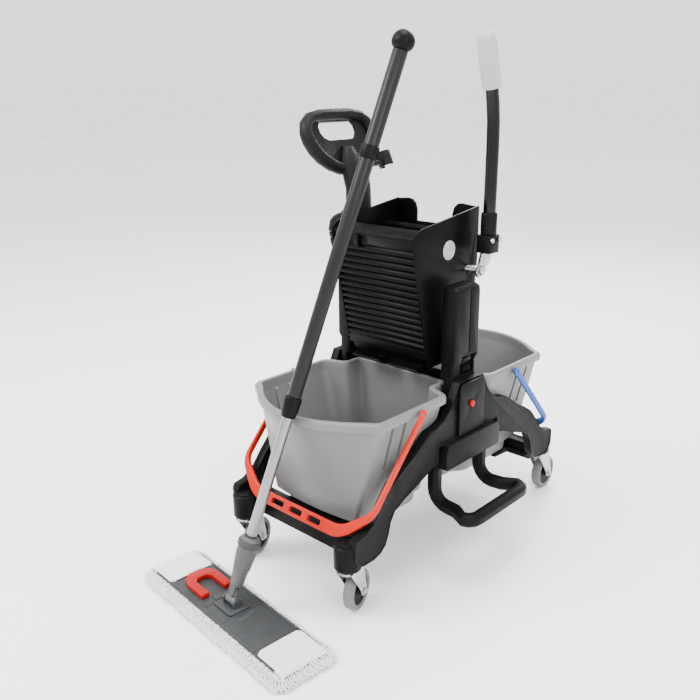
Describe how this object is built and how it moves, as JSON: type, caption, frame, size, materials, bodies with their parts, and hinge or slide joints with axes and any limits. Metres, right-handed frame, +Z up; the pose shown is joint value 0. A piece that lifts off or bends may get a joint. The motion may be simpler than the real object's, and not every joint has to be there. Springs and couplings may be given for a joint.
{
  "type": "mopping trolley",
  "caption": "Double-bucket mopping trolley on swivel casters with a central lever press, a push handle, a foot loop, carrying bails and a flat mop standing in front.",
  "frame": {"origin": "middle of the base of the whole object, on the floor", "axes": "+X towards the lever and the foot loop, -Y towards the front bucket and the mop, +Z up"},
  "size_m": [0.498, 0.9582, 1.0321],
  "materials": {
    "black_plastic": "satin, fine moulded grain",
    "bucket_grey": "satin, slightly translucent",
    "bail_red": "satin gloss",
    "bail_blue": "satin gloss",
    "red_plastic": "gloss",
    "zinc_steel": "zinc plated",
    "bare_aluminium": "satin anodised",
    "grey_tyre": "smooth, matt",
    "gloss_black_tube": "gloss enamel",
    "dark_grey_tube": "satin",
    "pale_grip": "matt",
    "grey_plastic": "satin",
    "slate_plastic": "fine grain",
    "microfibre": "looped pile and woven pockets",
    "badge_grey": "plain"
  },
  "bodies": {
    "trolley": {"centre_bridge": "black_plastic", "column_left": "black_plastic", "column_right": "black_plastic", "cover_panel_left": "black_plastic", "cover_panel_right": "black_plastic", "cross_beam_front": "black_plastic", "cross_beam_rear": "black_plastic", "foot_loop": "black_plastic", "pole_holder": "black_plastic", "press_back_wall": "black_plastic", "press_badge": "badge_grey", "press_drain_floor": "black_plastic", "press_front_wall": "black_plastic", "press_plate_pin": "zinc_steel", "press_side_left": "black_plastic", "press_side_right": "black_plastic", "push_handle": "black_plastic", "side_frame_left": "black_plastic", "side_frame_right": "black_plastic"},
    "bucket_front": {"bucket_front": "bucket_grey"},
    "bucket_rear": {"bucket_rear": "bucket_grey"},
    "bail_front": {"bail_front": "bail_red"},
    "bail_rear": {"bail_rear": "bail_blue"},
    "lever": {"lever_shaft": "zinc_steel", "lever_bracket": "zinc_steel", "lever_clamp": "black_plastic", "clamp_bolt_1": "zinc_steel", "clamp_bolt_2": "zinc_steel", "lever_collar": "black_plastic", "lever_tube": "gloss_black_tube", "lever_grip": "pale_grip"},
    "press_plate": {"press_plate": "black_plastic"},
    "release_button": {"release_button": "red_plastic"},
    "mop_stick": {"pole_socket": "grey_plastic", "pole_lower_tube": "bare_aluminium"},
    "mop_extension": {"pole_collar": "black_plastic", "pole_upper_tube": "dark_grey_tube", "pole_ball": "black_plastic", "pole_clip": "black_plastic"},
    "mop_joint": {"joint_block": "grey_plastic"},
    "mop_head": {"joint_seat": "slate_plastic", "mop_frame_plate": "slate_plastic", "mop_pad": "microfibre", "mop_pocket_left": "microfibre", "mop_pocket_right": "microfibre"},
    "mop_pedal": {"pedal_loop": "red_plastic"},
    "caster_front_right": {"caster_fork_front_right": "zinc_steel"},
    "wheel_front_right": {"caster_hub_front_right": "black_plastic", "caster_tyre_front_right": "grey_tyre"},
    "caster_front_left": {"caster_fork_front_left": "zinc_steel"},
    "wheel_front_left": {"caster_hub_front_left": "black_plastic", "caster_tyre_front_left": "grey_tyre"},
    "caster_rear_right": {"caster_fork_rear_right": "zinc_steel"},
    "wheel_rear_right": {"caster_hub_rear_right": "black_plastic", "caster_tyre_rear_right": "grey_tyre"},
    "caster_rear_left": {"caster_fork_rear_left": "zinc_steel"},
    "wheel_rear_left": {"caster_hub_rear_left": "black_plastic", "caster_tyre_rear_left": "grey_tyre"}
  },
  "joints": [
    {"name": "swivel_front_right", "type": "hinge", "parent": "trolley", "child": "caster_front_right", "pos_m": [0.131, -0.25581, 0.105], "axis": [0, 0, 1], "continuous": true},
    {"name": "roll_front_right", "type": "hinge", "parent": "caster_front_right", "child": "wheel_front_right", "pos_m": [0.12077, -0.22234, 0.04], "axis": [-0.9563, -0.2924, 0], "continuous": true},
    {"name": "swivel_front_left", "type": "hinge", "parent": "trolley", "child": "caster_front_left", "pos_m": [-0.153, -0.25581, 0.105], "axis": [0, 0, 1], "continuous": true},
    {"name": "roll_front_left", "type": "hinge", "parent": "caster_front_left", "child": "wheel_front_left", "pos_m": [-0.16323, -0.22234, 0.04], "axis": [-0.9563, -0.2924, 0], "continuous": true},
    {"name": "swivel_rear_right", "type": "hinge", "parent": "trolley", "child": "caster_rear_right", "pos_m": [0.131, 0.40419, 0.105], "axis": [0, 0, 1], "continuous": true},
    {"name": "roll_rear_right", "type": "hinge", "parent": "caster_rear_right", "child": "wheel_rear_right", "pos_m": [0.12917, 0.43915, 0.04], "axis": [-0.9986, -0.0523, 0], "continuous": true},
    {"name": "swivel_rear_left", "type": "hinge", "parent": "trolley", "child": "caster_rear_left", "pos_m": [-0.153, 0.40419, 0.105], "axis": [0, 0, 1], "continuous": true},
    {"name": "roll_rear_left", "type": "hinge", "parent": "caster_rear_left", "child": "wheel_rear_left", "pos_m": [-0.15483, 0.43915, 0.04], "axis": [-0.9986, -0.0523, 0], "continuous": true},
    {"name": "lift_bucket_front", "type": "slide", "parent": "trolley", "child": "bucket_front", "axis": [0, 0, 1], "range_m": [0, 0.02]},
    {"name": "lift_bucket_rear", "type": "slide", "parent": "trolley", "child": "bucket_rear", "axis": [0, 0, 1], "range_m": [0, 0.02]},
    {"name": "swing_bail_front", "type": "hinge", "parent": "bucket_front", "child": "bail_front", "pos_m": [-0.011, -0.08481, 0.361], "axis": [-1, 0, 0], "range_deg": [0, 21]},
    {"name": "swing_bail_rear", "type": "hinge", "parent": "bucket_rear", "child": "bail_rear", "pos_m": [-0.011, 0.23319, 0.361], "axis": [1, 0, 0], "range_deg": [0, 147]},
    {"name": "press_lever", "type": "hinge", "parent": "trolley", "child": "lever", "pos_m": [0.114, 0.13869, 0.588], "axis": [1, 0, 0], "range_deg": [0, 75]},
    {"name": "press_plate_hinge", "type": "hinge", "parent": "trolley", "child": "press_plate", "pos_m": [-0.011, 0.12019, 0.452], "axis": [1, 0, 0], "range_deg": [0, 30]},
    {"name": "button_travel", "type": "slide", "parent": "trolley", "child": "release_button", "axis": [-1, 0, 0], "range_m": [0, 0.002], "stiffness_N_per_m": 200},
    {"name": "mop_away", "type": "slide", "parent": "bucket_front", "child": "mop_stick", "axis": [0, -0.8, 0.6], "range_m": [0, 0.35]},
    {"name": "pole_extension", "type": "slide", "parent": "mop_stick", "child": "mop_extension", "axis": [0.1223, 0.3166, 0.9406], "range_m": [0, 0.5]},
    {"name": "pole_side_tilt", "type": "hinge", "parent": "mop_stick", "child": "mop_joint", "pos_m": [-0.02653, -0.39442, 0.05359], "axis": [-0.0823, -0.9412, 0.3275], "range_deg": [-30, 30]},
    {"name": "pole_fore_tilt", "type": "hinge", "parent": "mop_joint", "child": "mop_head", "pos_m": [-0.027, -0.39981, 0.038], "axis": [0.9962, -0.0872, 0], "range_deg": [-25, 25]},
    {"name": "pedal_press", "type": "hinge", "parent": "mop_head", "child": "mop_pedal", "pos_m": [-0.0788, -0.39527, 0.029], "axis": [0.0872, 0.9962, 0], "range_deg": [0, 20]}
  ],
  "couplings": [
    {"joint": "press_plate_hinge", "follows": "press_lever", "ratio": 0.4}
  ]
}
